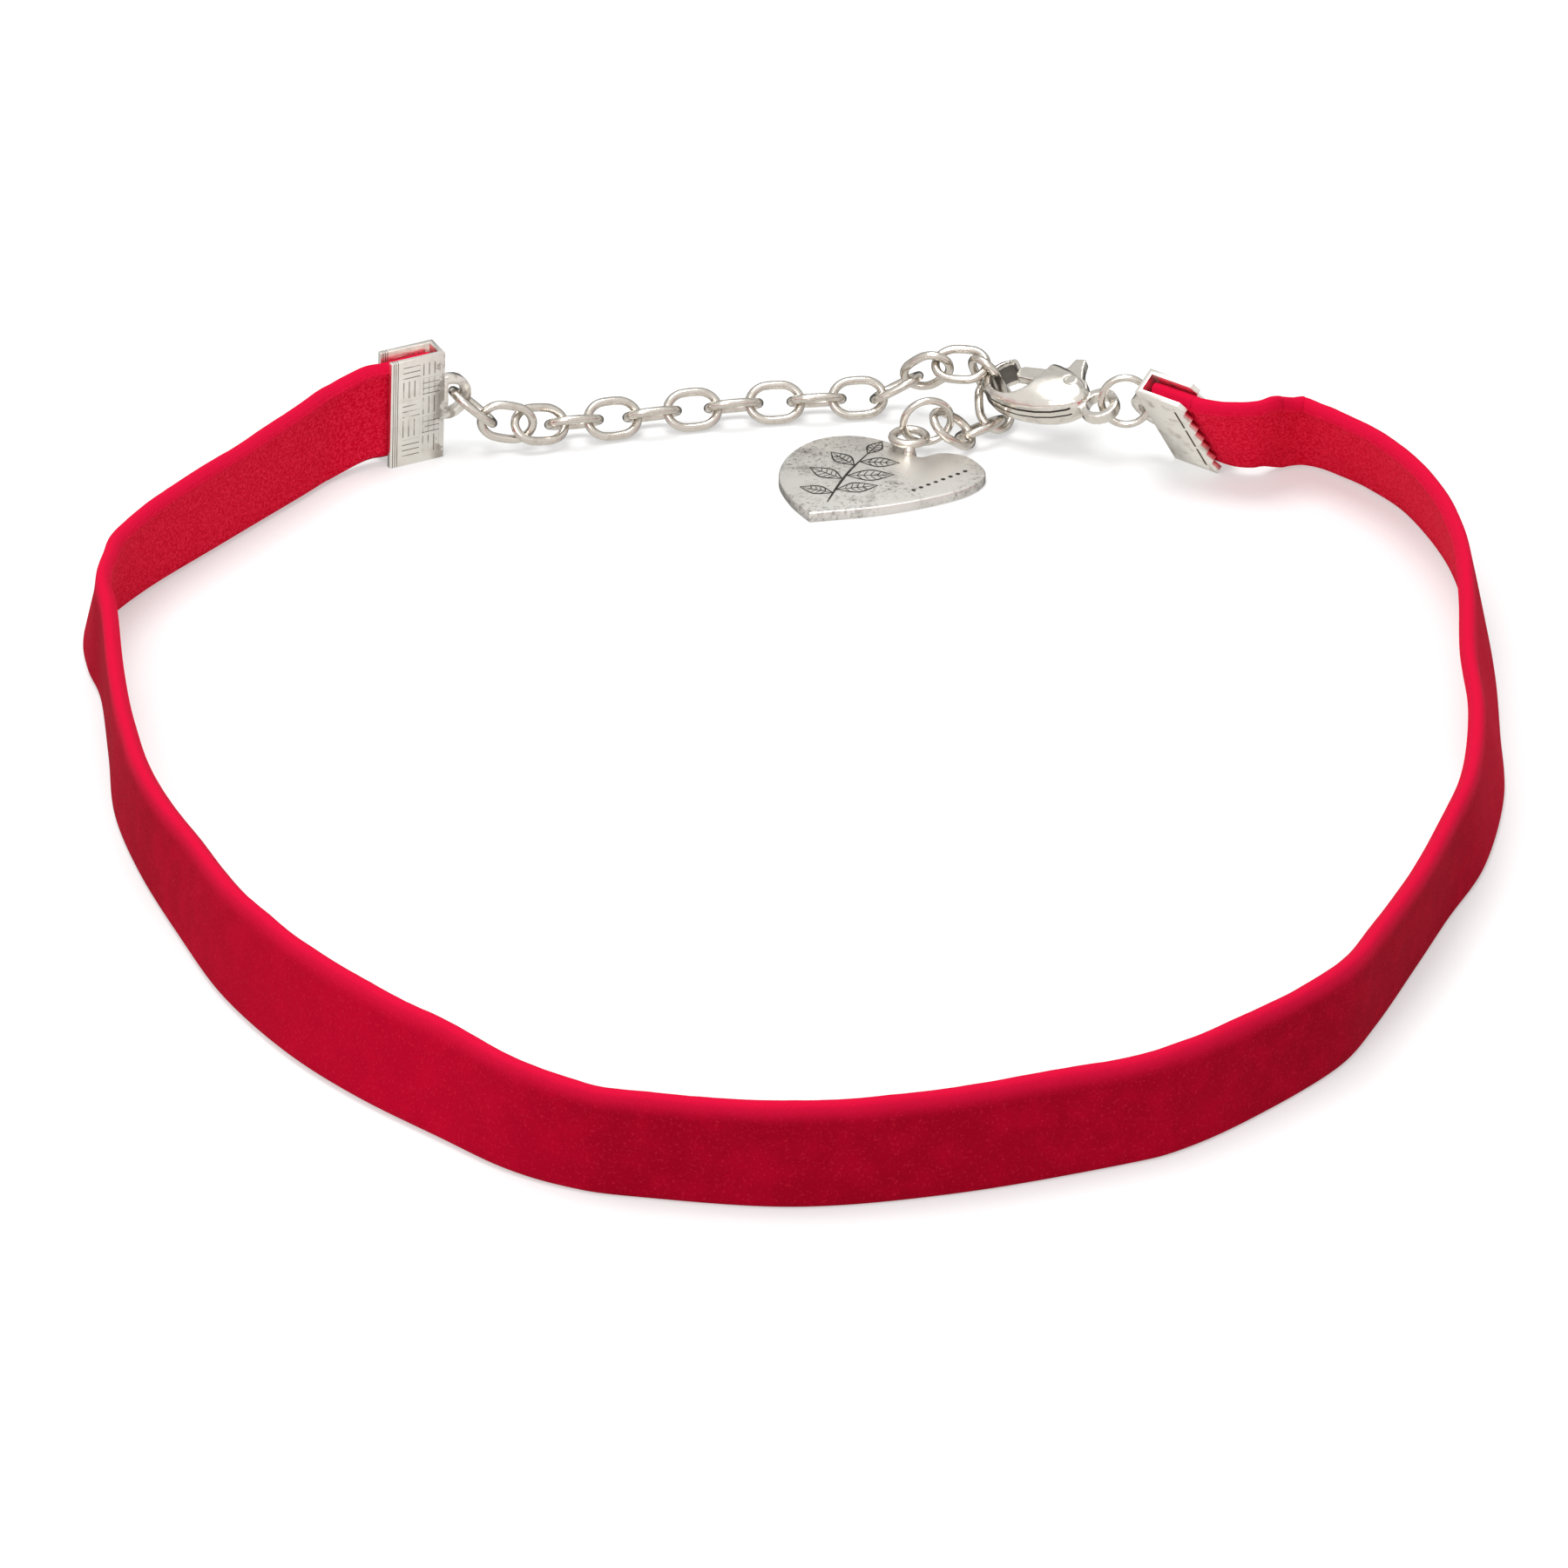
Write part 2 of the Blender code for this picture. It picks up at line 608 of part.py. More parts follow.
def make_clasp(parts, cutters):
    place = clasp_frame()
    hole_end, nose, lever_tip = clasp_sizes()
    neck = CLASP_EYE_RADIUS * 0.6
    outline = egg(neck, nose, CLASP_HALF_WIDTH)
    body = plate("clasp_body", [outline], CLASP_THICKNESS, parts, place)
    soften(body, CLASP_ROUND)

    eye = round_post("clasp_eye", CLASP_EYE_RADIUS, CLASP_EYE_THICKNESS, cutters, place)
    combine(body, eye, "UNION")
    eye_hole = round_post(
        "clasp_eye_hole", CLASP_EYE_HOLE_RADIUS, 2 * CLASP_THICKNESS, cutters, place
    )
    combine(body, eye_hole, "DIFFERENCE")

    # The room inside the hook, and the gate that opens from it to the side.
    hole_start = PIVOT_ALONG + PIVOT_BOSS_RADIUS + CLASP_WEB
    inner = CLASP_HALF_WIDTH - HOOK_WIDTH
    hole = egg(hole_start, hole_end, inner)
    through = 2 * CLASP_THICKNESS
    combine(body, plate("clasp_hole", [hole], through, cutters, place), "DIFFERENCE")
    gate_low = PIVOT_ACROSS - LEVER_SIDE_GAP - 0.5 * MM
    gate_high = CLASP_HALF_WIDTH + 1.0 * MM
    gate_end = lever_tip + LEVER_TIP_GAP
    gate = [
        (hole_start - 0.4 * MM, gate_low),
        (gate_end, gate_low),
        (gate_end, gate_high),
        (hole_start - 0.4 * MM, gate_high),
    ]
    combine(body, plate("clasp_gate", [gate], through, cutters, place), "DIFFERENCE")

    slot = LEVER_THICKNESS + 2 * LEVER_SIDE_GAP
    pivot = (PIVOT_ALONG, PIVOT_ACROSS)
    room = PIVOT_BOSS_RADIUS + LEVER_SIDE_GAP
    slot_outline = [
        (PIVOT_ALONG - room, gate_high),
        (PIVOT_ALONG - room, PIVOT_ACROSS),
        (PIVOT_ALONG - room * 0.7, PIVOT_ACROSS - room * 0.7),
        (PIVOT_ALONG, PIVOT_ACROSS - room),
        (hole_start + 0.3 * MM, PIVOT_ACROSS - room - 0.5 * MM),
        (hole_start + 0.3 * MM, gate_high),
    ]
    combine(body, plate("clasp_slot", [slot_outline], slot, cutters, place), "DIFFERENCE")
    pivot_place = place @ Matrix.Translation((*pivot, 0.0))
    rivet_hole = round_post(
        "clasp_rivet_hole", RIVET_RADIUS + RIVET_CLEARANCE, through, cutters, pivot_place
    )
    combine(body, rivet_hole, "DIFFERENCE")
    make_rivet(pivot_place, parts)
    make_lever(pivot_place, lever_tip, parts, cutters)


def make_rivet(pivot_place, parts):
    """A headed pin turned from its profile, from its top down its outer side."""
    top = CLASP_THICKNESS / 2 + RIVET_CLEARANCE + RIVET_HEAD_HEIGHT
    under = CLASP_THICKNESS / 2 + RIVET_CLEARANCE
    profile = [
        (0.0, top),
        (RIVET_HEAD_RADIUS * 0.7, top),
        (RIVET_HEAD_RADIUS, under + RIVET_HEAD_HEIGHT / 3),
        (RIVET_HEAD_RADIUS, under),
        (RIVET_RADIUS, under),
    ]
    profile += [(x, -z) for x, z in reversed(profile)]
    mesh = bpy.data.meshes.new("clasp_rivet")
    work = bmesh.new()
    points = [work.verts.new((x, 0.0, z)) for x, z in profile]
    for a, b in zip(points, points[1:]):
        work.edges.new((a, b))
    work.to_mesh(mesh)
    work.free()
    rivet = bpy.data.objects.new("clasp_rivet", mesh)
    rivet.matrix_world = pivot_place
    parts.objects.link(rivet)
    turn = rivet.modifiers.new("turned", "SCREW")
    turn.steps = 12
    turn.render_steps = 12
    turn.use_merge_vertices = True
    turn.merge_threshold = 0.01 * MM
    return rivet


def make_lever(pivot_place, lever_tip, parts, cutters):
    """The gate, a flat bar round its pivot with a thumb tab on its outer side."""
    reach = lever_tip - PIVOT_ALONG
    boss = arc((0.0, 0.0), PIVOT_BOSS_RADIUS, 100, 270, 9)
    bar_low, bar_high = -0.15 * MM, 1.05 * MM
    outline = boss + [
        (1.2 * MM, -1.0 * MM),
        (2.4 * MM, bar_low),
        (reach - 0.3 * MM, bar_low),
        (reach, bar_low + 0.3 * MM),
        (reach, bar_high - 0.35 * MM),
        (reach - 0.4 * MM, bar_high),
        (2.6 * MM, bar_high + 0.35 * MM),
        (1.7 * MM, bar_high + 0.9 * MM),
        (1.5 * MM, bar_high + 1.9 * MM),
        (0.6 * MM, bar_high + 2.1 * MM),
        (0.3 * MM, bar_high + 1.1 * MM),
    ]
    lever = plate("clasp_lever", [outline], LEVER_THICKNESS, parts, pivot_place)
    hole = round_post(
        "clasp_lever_hole", RIVET_RADIUS + RIVET_CLEARANCE, 2 * CLASP_THICKNESS, cutters, pivot_place
    )
    return combine(lever, hole, "DIFFERENCE")


def centre_on_floor(parts):
    """Hangs everything from an empty, moved so that the footprint's middle is the origin."""
    bpy.context.view_layer.update()
    graph = bpy.context.evaluated_depsgraph_get()
    corners = []
    for obj in parts.objects:
        shown = obj.evaluated_get(graph)
        corners += [shown.matrix_world @ vertex.co for vertex in shown.data.vertices]
    low = Vector(min(p[i] for p in corners) for i in range(3))
    high = Vector(max(p[i] for p in corners) for i in range(3))
    middle = bpy.data.objects.new("choker_origin", None)
    parts.objects.link(middle)
    pieces = [obj for obj in bpy.data.objects if obj is not middle]
    for obj in pieces:
        obj.parent = middle
    middle.location = (-(low.x + high.x) / 2, -(low.y + high.y) / 2, -low.z)
    bpy.context.view_layer.update()


def main():
    parts, cutters = start_scene()
    ribbon = make_ribbon(parts, cutters)
    for name in CLAMPS:
        make_clamp(name, parts, cutters)
    make_chain(parts)
    make_ring("heart_jump_ring", HEART_RING_CENTRE, HEART_RING_AXIS, parts)
    make_heart(parts, cutters)
    make_ring("clasp_jump_ring", CLASP_RING_CENTRE, CLASP_RING_AXIS, parts)
    make_clasp(parts, cutters)
    centre_on_floor(parts)
    for obj in parts.objects:
        if obj.type == "MESH":
            look = VELVET if obj is ribbon else SILVER
            obj.data.materials.append(finish_material(obj.name + "_finish", look))


main()
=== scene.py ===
"""The looks of the velvet choker: pile and weave, plated findings, antique heart, studio and camera."""

import math

import bmesh
import bpy
import numpy as np
from mathutils import Matrix, Vector, noise


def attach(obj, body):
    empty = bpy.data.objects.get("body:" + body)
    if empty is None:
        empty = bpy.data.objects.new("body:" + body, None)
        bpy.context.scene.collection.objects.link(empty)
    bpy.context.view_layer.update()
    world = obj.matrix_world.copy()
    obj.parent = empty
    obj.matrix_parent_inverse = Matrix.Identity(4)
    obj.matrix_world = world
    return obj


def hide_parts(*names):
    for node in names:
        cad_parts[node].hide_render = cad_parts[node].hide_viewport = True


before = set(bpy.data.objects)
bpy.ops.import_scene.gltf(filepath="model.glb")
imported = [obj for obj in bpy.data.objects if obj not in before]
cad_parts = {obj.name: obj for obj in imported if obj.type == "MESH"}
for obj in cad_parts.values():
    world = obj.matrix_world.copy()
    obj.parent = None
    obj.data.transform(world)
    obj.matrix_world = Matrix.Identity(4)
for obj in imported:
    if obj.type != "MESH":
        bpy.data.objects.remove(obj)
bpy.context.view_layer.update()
MM = 0.001
HOLDER = "choker"

# Sizes and places, as the solids have them

# The middle of the footprint, measured in the ribbon table's own frame.
TABLE_MIDDLE = Vector((0.259, 4.421, 0.0)) * MM
HALF_WIDTH = 57.5 * MM
HALF_DEPTH = 63.5 * MM
RIBBON_WIDTH = 9.0 * MM
RIBBON_THICKNESS = 1.3 * MM
# How the pile rolls over the ribbon's edges and stands up in its middle, and how far the weave lies
# behind the edges on the inside.
PILE_ROLL_RADIUS = 0.5 * MM
PILE_ROLL_TURNS = (160, 135, 110, 85, 55, 25)
PILE_CROWN = 0.03 * MM
WEAVE_SETBACK = 0.12 * MM
LINKS = 18
LINK_HALF_LENGTH = 2.2 * MM
LINK_HALF_WIDTH = 1.5 * MM
RING_RADIUS = 2.05 * MM
LINK_WIRE_RADIUS = 0.365 * MM
RING_WIRE_RADIUS = 0.31 * MM
WIRE_SIDES = 12
HEART_MIDDLE = Vector((8.199, 57.967, 0.0)) * MM
HEART_SPAN = 17.3 * MM
HEART_THICKNESS = 0.9 * MM
EYELET_MIDDLE = Vector((10.5, 63.0, 1.65)) * MM
EYELET_RADIUS = 1.4 * MM
EYELET_WIRE_RADIUS = 0.37 * MM
HEART_RIM_BEVEL = 0.16 * MM
CLAMP_EDGE_BEVEL = 0.07 * MM

# Foot line of the ribbon in three stretches, with the lean of its top edge to the inside in degrees.
# At the back, across is a share of the way from a clamp's side of the loop to the side, at the front
# of half the width; along is a share of half the depth.
LEFT_BACK_SECTIONS = (
    # across, along, lean
    (0.137, 0.923, 4),
    (0.265, 0.862, 6),
    (0.562, 0.720, 10),
    (0.808, 0.600, 12),
    (0.955, 0.505, 14),
)
FRONT_SECTIONS = (
    # across, along, lean
    (-0.993, 0.435, 13),
    (-0.981, 0.360, 6),
    (-0.958, 0.280, 2),
    (-0.938, 0.120, 1),
    (-0.922, -0.030, 4),
    (-0.880, -0.180, 2),
    (-0.818, -0.345, 6),
    (-0.753, -0.495, 9),
    (-0.663, -0.635, 12),
    (-0.567, -0.742, 13),
    (-0.455, -0.840, 12),
    (-0.370, -0.910, 8),
    (-0.290, -0.952, 4),
    (-0.200, -0.975, 0),
    (0.014, -1.000, 0),
    (0.226, -0.968, 0),
    (0.445, -0.900, 1),
    (0.530, -0.860, 2),
    (0.624, -0.783, 1),
    (0.734, -0.668, -2),
    (0.788, -0.568, -3),
    (0.852, -0.415, -4),
    (0.901, -0.295, -1),
    (0.958, -0.165, 6),
    (0.995, 0.010, 13),
    (1.000, 0.175, 16),
    (1.002, 0.335, 14),
    (0.995, 0.495, 12),
)
RIGHT_BACK_SECTIONS = (
    # across, along, lean
    (0.914, 0.660, 17),
    (0.753, 0.805, 24),
    (0.575, 0.887, 27),
    (0.425, 0.932, 28),
    (0.316, 0.957, 28),
    (0.201, 0.968, 28),
    (0.092, 0.960, 27),
)

# Heart outline from its point round the left lobe, as shares of its span.
HEART_OUTLINE = (
    # across, along
    (-0.353, -0.445),
    (-0.445, -0.270),
    (-0.500, -0.050),
    (-0.455, 0.180),
    (-0.325, 0.350),
    (-0.150, 0.400),
    (0.010, 0.345),
    (0.120, 0.240),
    (0.185, 0.165),
    (0.290, 0.210),
    (0.420, 0.165),
    (0.500, 0.000),
    (0.440, -0.140),
    (0.280, -0.255),
    (0.000, -0.370),
)

# Mouth of each clamp in the table's frame in mm, its heading and lean in degrees, the side on which
# the inside lies, and how far the ribbon runs straight outside it.
CLAMPS = {
    # name: (x, y, heading, lean, inner side, straight)
    "ribbon_clamp_left": (-33.6, 61.4, 28, 4, -1, 1.9),
    "ribbon_clamp_right": (37.3, 59.9, 140, 34, 1, 0.4),
}
CLAMP_HEIGHT = 10.0 * MM
CLAMP_GRIP = 4.2 * MM
# The ribbon's bend to the outside as it leaves the right clamp, and its lean after it.
BEND_RADIUS = 1.8 * MM
BEND_TURN = 68
BEND_LEAN = 27
BEND_STEPS = 3

# The sprig and the row of dots on the heart's face, in mm from the heart's middle.
SPRIG_STEM = ((-4.6, -5.6), (-3.7, -2.6), (-2.7, 0.2), (-1.2, 3.4))
SPRIG_LEAVES = (
    # x, y, turn in degrees, length
    (-4.1, -3.9, 158, 3.0),
    (-3.9, -3.3, 12, 3.6),
    (-3.3, -1.3, 142, 3.5),
    (-3.0, -0.7, 2, 4.0),
    (-2.3, 1.2, 128, 3.2),
    (-1.9, 1.9, -4, 3.4),
    (-1.2, 3.4, 62, 2.6),
)
LEAF_FULLNESS = 0.24
HATCH_SHARES = (0.22, 0.36, 0.50, 0.64)
DOTS = 8
FIRST_DOT = Vector((2.6, -3.4, 0.0))
DOT_STEP = Vector((0.62, 0.5, 0.0))
DOT_RADIUS = 0.2 * MM
CUT_WIDTHS = {"stem": 0.24 * MM, "edge": 0.17 * MM, "rib": 0.12 * MM, "hatch": 0.09 * MM}

# The clasp's eye and nose in the table's frame, the side its gate is on, and its swollen shoulder.
CLASP_EYE = Vector((26.4, 62.3, 4.8)) * MM
CLASP_NOSE = Vector((17.2, 68.6, 4.0)) * MM
CLASP_GATE_SIDE = Vector((0.485, 0.762, 0.423))
SHOULDER_MIDDLE = 6.4 * MM
SHOULDER_HALF_LENGTH = 5.0 * MM
SHOULDER_HALF_WIDTH = 3.0 * MM
SHOULDER_SWELL = 0.7

# The photograph's view: elevation in degrees, distance in metres, lens and sensor in mm.
VIEW_ELEVATION = 28
VIEW_DISTANCE = 0.95
VIEW_AIM = Vector((-0.258, -0.32, 0.0)) * MM
VIEW_LENS = 274.0
VIEW_SENSOR = 36.0

# What polished metal mirrors: greys along one direction, from behind the piece to before it.
CARD_DIRECTION = (0.0, -0.88, 0.47)
CARDS = (
    # place, grey
    (0.00, 0.05),
    (0.10, 0.10),
    (0.17, 0.45),
    (0.24, 0.80),
    (0.45, 0.50),
    (0.62, 0.85),
    (1.00, 0.95),
)
LAMPS = (
    # name, place, size, power
    ("key", (-0.08, 0.08, 0.85), 0.45, 5.0),
    ("fill", (-0.20, -0.60, 0.55), 0.40, 2.6),
)


# Shader maths and finishes


class Value:
    """A number that a shader computes, written as ordinary arithmetic."""

    def __init__(self, tree, socket):
        self.tree = tree
        self.socket = socket

    def maths(self, operation, first, second):
        return self.tree.node("ShaderNodeMath", {"operation": operation}, {0: first, 1: second})

    def __add__(self, other):
        return self.maths("ADD", self, other)

    def __sub__(self, other):
        return self.maths("SUBTRACT", self, other)

    def __mul__(self, other):
        return self.maths("MULTIPLY", self, other)

    def __truediv__(self, other):
        return self.maths("DIVIDE", self, other)

    def __radd__(self, other):
        return self.maths("ADD", other, self)

    def __rsub__(self, other):
        return self.maths("SUBTRACT", other, self)

    def __rmul__(self, other):
        return self.maths("MULTIPLY", other, self)

    def __mod__(self, other):
        return self.maths("FLOORED_MODULO", self, other)

    def __gt__(self, other):
        return self.maths("GREATER_THAN", self, other)

    def __lt__(self, other):
        return self.maths("LESS_THAN", self, other)

    def size(self):
        return self.maths("ABSOLUTE", self, 0.0)

    def over(self, low, high):
        """0 up to low, 1 from high on, smooth between."""
        return self.tree.node(
            "ShaderNodeMapRange",
            {"interpolation_type": "SMOOTHSTEP"},
            {"Value": self, "From Min": low, "From Max": high},
        )


class Tree:
    """The nodes round one shader, which all come from node()."""

    def __init__(self, tree, shader):
        self.nodes = tree.nodes
        self.links = tree.links
        self.shader = self.nodes[shader]

    def set(self, node, socket, value):
        if isinstance(value, Value):
            self.links.new(value.socket, node.inputs[socket])
        elif isinstance(value, tuple) and len(value) == 3 and node.inputs[socket].type == "RGBA":
            node.inputs[socket].default_value = (*value, 1.0)
        else:
            node.inputs[socket].default_value = value

    def node(self, kind, settings=None, values=None, output=0):
        made = self.nodes.new(kind)
        for name, setting in (settings or {}).items():
            if name == "stops":
                ramp = made.color_ramp
                while len(ramp.elements) < len(setting):
                    ramp.elements.new(0.5)
                for element, (place, colour) in zip(ramp.elements, setting):
                    element.position = place
                    element.color = (*colour, 1.0)
            else:
                setattr(made, name, setting)
        for socket, value in (values or {}).items():
            self.set(made, socket, value)
        return Value(self, made.outputs[output])

    def parts(self, vector):
        split = self.node("ShaderNodeSeparateXYZ", values={0: vector})
        outputs = split.socket.node.outputs
        return [Value(self, outputs[i]) for i in range(3)]

    def blend(self, amount, first, second):
        return self.node(
            "ShaderNodeMix", {"data_type": "RGBA"}, {0: amount, 6: first, 7: second}, output=2
        )


class Finish(Tree):
    """A material on one shader."""

    def __init__(self, name, colour, roughness, metallic=0.0, uniform=None):
        self.material = bpy.data.materials.new(name)
        self.material.use_nodes = True
        super().__init__(self.material.node_tree, "Principled BSDF")
        self.set(self.shader, "Base Color", colour)
        self.set(self.shader, "Roughness", roughness)
        self.set(self.shader, "Metallic", metallic)
        for socket, value in (uniform or {}).items():
            self.set(self.shader, socket, value)

    def place(self, turned=None):
        """Object coordinates, or those of a frame on the piece."""
        coordinates = self.node("ShaderNodeTexCoord", output="Object")
        if turned is None:
            return coordinates
        return self.node(
            "ShaderNodeMapping",
            {"vector_type": "TEXTURE"},
            {0: coordinates, 1: tuple(turned.to_translation()), 2: tuple(turned.to_euler())},
        )

    def noise(self, scale, detail=3.0, roughness=0.5):
        return self.node(
            "ShaderNodeTexNoise",
            values={
                "Vector": self.place(),
                "Scale": scale,
                "Detail": detail,
                "Roughness": roughness,
            },
        )

    def attribute(self, name):
        return self.node("ShaderNodeAttribute", {"attribute_name": name}, output="Fac")

    def bump(self, height, distance, strength=1.0):
        normal = self.node(
            "ShaderNodeBump", values={"Height": height, "Distance": distance, "Strength": strength}
        )
        self.set(self.shader, "Normal", normal)

    def finish(self, **sockets):
        for socket, value in sockets.items():
            self.set(self.shader, socket.replace("_", " ").title(), value)
        return self.material


def velvet_finish():
    """Crimson pile outside with painted highlights where it rolls over the upper edge and where the
    ribbon leans back; a fine woven back inside.
    """
    made = Finish(
        "crimson velvet",
        (0.42, 0.002, 0.02),
        0.92,
        uniform={
            "Specular IOR Level": 0.04,
            "Sheen Weight": 0.05,
            "Sheen Roughness": 0.4,
            "Sheen Tint": (1.0, 0.06, 0.12),
        },
    )
    height = made.attribute("height")
    back = made.attribute("back")
    turned = made.attribute("turn")
    speckle = made.noise(4200, detail=2.0, roughness=0.75)
    brushed = made.noise(420, detail=4.0, roughness=0.6)
    broad = made.noise(60, detail=2.0)
    upper = height.over(0.78, 0.98)
    pile = made.blend(brushed.over(0.38, 0.68), (0.275, 0.0003, 0.011), (0.335, 0.0005, 0.014))
    pile = made.blend(broad.over(0.4, 0.7) * 0.3, pile, (0.25, 0.0003, 0.009))
    # Painted highlight: the outside is painted lighter where the ribbon leans back and its face turns
    # up to the light.
    pile = made.blend(turned * 0.75, pile, (0.53, 0.0008, 0.026))
    pile = made.blend(speckle.over(0.54, 0.74) * 0.4, pile, (0.56, 0.018, 0.045))
    # Painted highlight along the upper edge, where the pile rolls over.
    pile = made.blend(upper * 0.9, pile, (0.62, 0.005, 0.04))
    # The weave has about 37 ribs over the ribbon's width.
    rib = made.node("ShaderNodeMath", {"operation": "SINE"}, {0: height * 230.0})
    woven = made.blend(speckle.over(0.40, 0.66), (0.54, 0.0008, 0.018), (0.74, 0.018, 0.055))
    woven = made.blend((rib * 0.5 + 0.5) * 0.2, woven, (0.47, 0.0008, 0.015))
    # The painted highlight of the upper edge carries over the roll onto the inside.
    woven = made.blend(height.over(0.86, 0.97) * 0.7, woven, (0.72, 0.006, 0.045))
    relief = speckle * 0.7 + brushed * 0.3 + back * rib * 0.15
    made.bump(relief, 0.00012, 0.8)
    return made.finish(base_color=made.blend(back, pile, woven), roughness=0.95 - back * 0.08)


def silver_finish(name, gloss, tarnish, grain):
    """Warm silver plate: fine handling marks, a thin brown film, and painted shade in the hollows."""
    tone = (0.69, 0.65, 0.595)
    made = Finish(name, tone, gloss, 1.0)
    film = made.noise(grain, detail=5.0, roughness=0.62)
    fine = made.noise(grain * 7, detail=2.0)
    hollow = made.attribute("hollow")
    colour = made.blend(film.over(0.44, 0.74) * tarnish, tone, (0.42, 0.35, 0.27))
    # Painted shade darkens the hollows.
    colour = made.blend(hollow, colour, (0.06, 0.048, 0.038))
    made.bump(film * 0.6 + fine * 0.4, 0.00003, 0.5)
    return made.finish(base_color=colour, roughness=gloss + film * 0.16 + hollow * 0.3)


def clasp_finish(turned):
    """Cast silver plate with two long grooves along the flank of the shell, and painted shade in the
    grooves and the hollows.
    """
    made = Finish("clasp silver", (0.74, 0.70, 0.65), 0.16, 1.0)
    x, y, z = made.parts(made.place(turned))
    film = made.noise(900, detail=5.0, roughness=0.62)
    hollow = made.attribute("hollow")
    ridge = ((z + 0.62 * MM).size() < 0.09 * MM) + ((z - 0.02 * MM).size() < 0.08 * MM)
    ridge = ridge * (y < -0.9 * MM) * (x > 2.0 * MM) * (x < 10.6 * MM)
    colour = made.blend(film.over(0.46, 0.74) * 0.4, (0.80, 0.765, 0.71), (0.36, 0.31, 0.26))
    # Painted shade: the two grooves are painted near-black.
    colour = made.blend(ridge, colour, (0.05, 0.042, 0.035))
    # Painted shade: the hollows and the lever's slot are painted near-black.
    colour = made.blend(hollow, colour, (0.045, 0.038, 0.032))
    made.bump(film * 0.1 - ridge, 0.00012, 0.9)
    return made.finish(base_color=colour, roughness=0.15 + film * 0.14 + hollow * 0.3)


def heart_finish():
    """Antique silver: blotches and specks of patina over a bright worn face."""
    made = Finish("antique silver", (0.7, 0.68, 0.65), 0.3, 1.0)
    blotch = made.noise(420, detail=6.0, roughness=0.72)
    speck = made.noise(3000, detail=3.0, roughness=0.7)
    worn = made.noise(140, detail=2.0)
    dark = (blotch.over(0.46, 0.68) * 0.6 + speck.over(0.52, 0.66) * 0.6) * worn.over(0.34, 0.6)
    colour = made.blend(dark, (0.84, 0.825, 0.79), (0.14, 0.128, 0.112))
    # Painted shade darkens the hollows.
    colour = made.blend(made.attribute("hollow"), colour, (0.07, 0.06, 0.05))
    made.bump(blotch * 0.5 + speck * 0.2, 0.00005, 0.6)
    return made.finish(base_color=colour, roughness=0.28 + blotch * 0.24)


def clamp_finish(name, turned, woven):
    """Stamped plate. The left one has a basket weave of fine lines, the right one three slots."""
    made = Finish(name, (0.8, 0.77, 0.72), 0.26, 1.0)
    x, _, z = made.parts(made.place(turned))
    film = made.noise(700, detail=5.0, roughness=0.62)
    wear = made.noise(500, detail=3.0)
    if woven:
        # Two columns of groups; in every other group the lines run the other way.
        group = 1.85 * MM
        column, row = (x - 0.95 * MM) / group, (z - 0.7 * MM) / group
        across, up = column % 1.0, row % 1.0
        odd = (column - across + row - up) % 2.0
        upright = (across - 0.1) * 3.6 % 1.0
        level = (up - 0.1) * 3.6 % 1.0
        ruled = (upright < 0.17) * odd + (level < 0.17) * (1 - odd)
        clear = (across > 0.08) * (across < 0.94) * (up > 0.08) * (up < 0.94)
        inside = (column > 0.0) * (column < 2.0) * (row > 0.0) * (row < 4.7) * clear
        line = ruled * inside * wear.over(0.34, 0.5) * 0.75
        fold = (x / (0.2 * MM) % 1.0 < 0.35) * (x > 0.1 * MM) * (x < 0.75 * MM)
        line = line + fold * 0.8
        grime = film.over(0.48, 0.60) * x.over(3.6 * MM, 4.6 * MM) * 0.5
    else:
        slot = ((x - 1.25 * MM).size() < 0.12 * MM) * ((z - 0.9 * MM) % (2.75 * MM) < 2.45 * MM)
        line = slot * (z > 0.9 * MM) * (z < 9.2 * MM)
        grime = film.over(0.52, 0.70) * 0.3
    colour = made.blend(film.over(0.46, 0.72) * 0.3, (0.93, 0.90, 0.85), (0.55, 0.48, 0.40))
    colour = made.blend(grime, colour, (0.11, 0.08, 0.055))
    colour = made.blend(line, colour, (0.10, 0.075, 0.06))
    made.bump(film * 0.15 - line, 0.0001, 0.8)
    return made.finish(base_color=colour, roughness=0.24 + film * 0.16 + line * 0.3)


# Making pieces


def smooth_through(rows, steps):
    """A smooth line through rows of numbers, with so many steps to each stretch."""
    rows = [Vector(row) for row in rows]
    line = [rows[0] * 2 - rows[1]] + rows + [rows[-1] * 2 - rows[-2]]
    made = []
    for a, b, c, d in zip(line, line[1:], line[2:], line[3:]):
        for step in range(steps):
            t = step / steps
            made.append(
                (b * 2 + (c - a) * t + (a * 2 - b * 5 + c * 4 - d) * t**2
                 + (b * 3 - a - c * 3 + d) * t**3) / 2
            )
    made.append(rows[-1])
    return made


def new_work(*layers):
    """An empty bmesh whose vertices carry these numbers, named before any vertex is made."""
    work = bmesh.new()
    for name in layers or ("hollow",):
        work.verts.layers.float.new(name)
    return work


